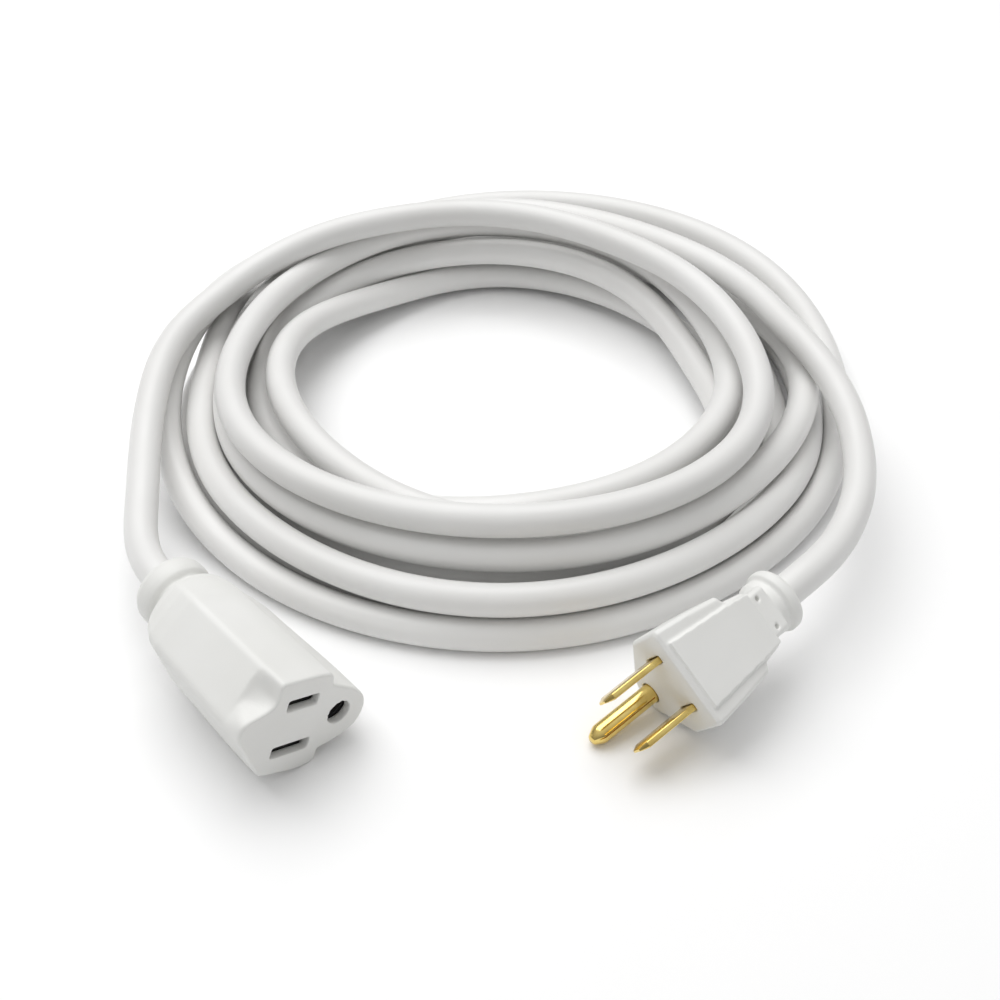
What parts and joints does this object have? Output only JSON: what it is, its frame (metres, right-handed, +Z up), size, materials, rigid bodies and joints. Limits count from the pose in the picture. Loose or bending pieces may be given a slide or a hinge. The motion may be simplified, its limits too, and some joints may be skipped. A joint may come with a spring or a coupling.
{
  "type": "extension cord",
  "caption": "Coiled round three-conductor extension cord with a moulded grounding plug at one end and a moulded single grounding connector at the other.",
  "frame": {"origin": "middle of the footprint, on the plane the coil rests on", "axes": "+Z up, out of the resting plane; the two ends lie toward -Y, the connector toward -X and the plug toward +X"},
  "size_m": [0.202, 0.2638, 0.035],
  "materials": {
    "jacket": "satin white PVC",
    "overmould": "matte white PVC",
    "carrier": "moulded nylon",
    "brass": "bright stamped brass",
    "copper": null,
    "insulation_black": "PVC insulation",
    "insulation_white": "PVC insulation",
    "insulation_green": "PVC insulation"
  },
  "bodies": {
    "coil": {"coil_jacket": "jacket", "coil_conductor_line": "insulation_black", "coil_conductor_neutral": "insulation_white", "coil_conductor_ground": "insulation_green"},
    "connector_lead_a": {"connector_lead_a_jacket": "jacket", "connector_lead_a_conductor_line": "insulation_black", "connector_lead_a_conductor_neutral": "insulation_white", "connector_lead_a_conductor_ground": "insulation_green"},
    "connector_lead_b": {"connector_lead_b_jacket": "jacket", "connector_lead_b_conductor_line": "insulation_black", "connector_lead_b_conductor_neutral": "insulation_white", "connector_lead_b_conductor_ground": "insulation_green"},
    "plug_lead_a": {"plug_lead_a_jacket": "jacket", "plug_lead_a_conductor_line": "insulation_black", "plug_lead_a_conductor_neutral": "insulation_white", "plug_lead_a_conductor_ground": "insulation_green"},
    "plug_lead_b": {"plug_lead_b_jacket": "jacket", "plug_lead_b_conductor_line": "insulation_black", "plug_lead_b_conductor_neutral": "insulation_white", "plug_lead_b_conductor_ground": "insulation_green"},
    "connector": {"connector_overmould": "overmould", "connector_insert": "carrier", "connector_cord_end_jacket": "jacket", "connector_conductor_line": "insulation_black", "connector_strand_line": "copper", "connector_contact_line": "brass", "connector_conductor_neutral": "insulation_white", "connector_strand_neutral": "copper", "connector_contact_neutral": "brass", "connector_conductor_ground": "insulation_green", "connector_strand_ground": "copper", "connector_contact_ground": "brass"},
    "plug": {"plug_overmould": "overmould", "plug_bridge": "carrier", "plug_cord_end_jacket": "jacket", "plug_blade_line": "brass", "plug_blade_neutral": "brass", "plug_ground_pin": "brass", "plug_conductor_line": "insulation_black", "plug_strand_line": "copper", "plug_conductor_neutral": "insulation_white", "plug_strand_neutral": "copper", "plug_conductor_ground": "insulation_green", "plug_strand_ground": "copper"}
  },
  "joints": [
    {"name": "connector_swing", "type": "hinge", "parent": "coil", "child": "connector_lead_a", "pos_m": [-0.09261, 0.02316, 0.02464], "axis": [0, 0, 1], "range_deg": [-18, 0]},
    {"name": "connector_bend", "type": "hinge", "parent": "connector_lead_a", "child": "connector_lead_b", "pos_m": [-0.09532, -0.02991, 0.02002], "axis": [0, 0, 1], "range_deg": [-18, 0]},
    {"name": "connector_lift", "type": "hinge", "parent": "connector_lead_b", "child": "connector", "pos_m": [-0.08912, -0.06682, 0.01692], "axis": [-0.742, -0.6704, 0], "range_deg": [0, 20]},
    {"name": "plug_swing", "type": "hinge", "parent": "coil", "child": "plug_lead_a", "pos_m": [0.07928, 0.02316, 0.02542], "axis": [0, 0, 1], "range_deg": [0, 18]},
    {"name": "plug_bend", "type": "hinge", "parent": "plug_lead_a", "child": "plug_lead_b", "pos_m": [0.0905, -0.03525, 0.02126], "axis": [0, 0, 1], "range_deg": [0, 18]},
    {"name": "plug_lift", "type": "hinge", "parent": "plug_lead_b", "child": "plug", "pos_m": [0.06996, -0.0791, 0.01989], "axis": [-0.6428, 0.766, 0], "range_deg": [0, 20]}
  ],
  "couplings": [
    {"joint": "connector_bend", "follows": "connector_swing", "ratio": 1},
    {"joint": "plug_bend", "follows": "plug_swing", "ratio": 1}
  ]
}
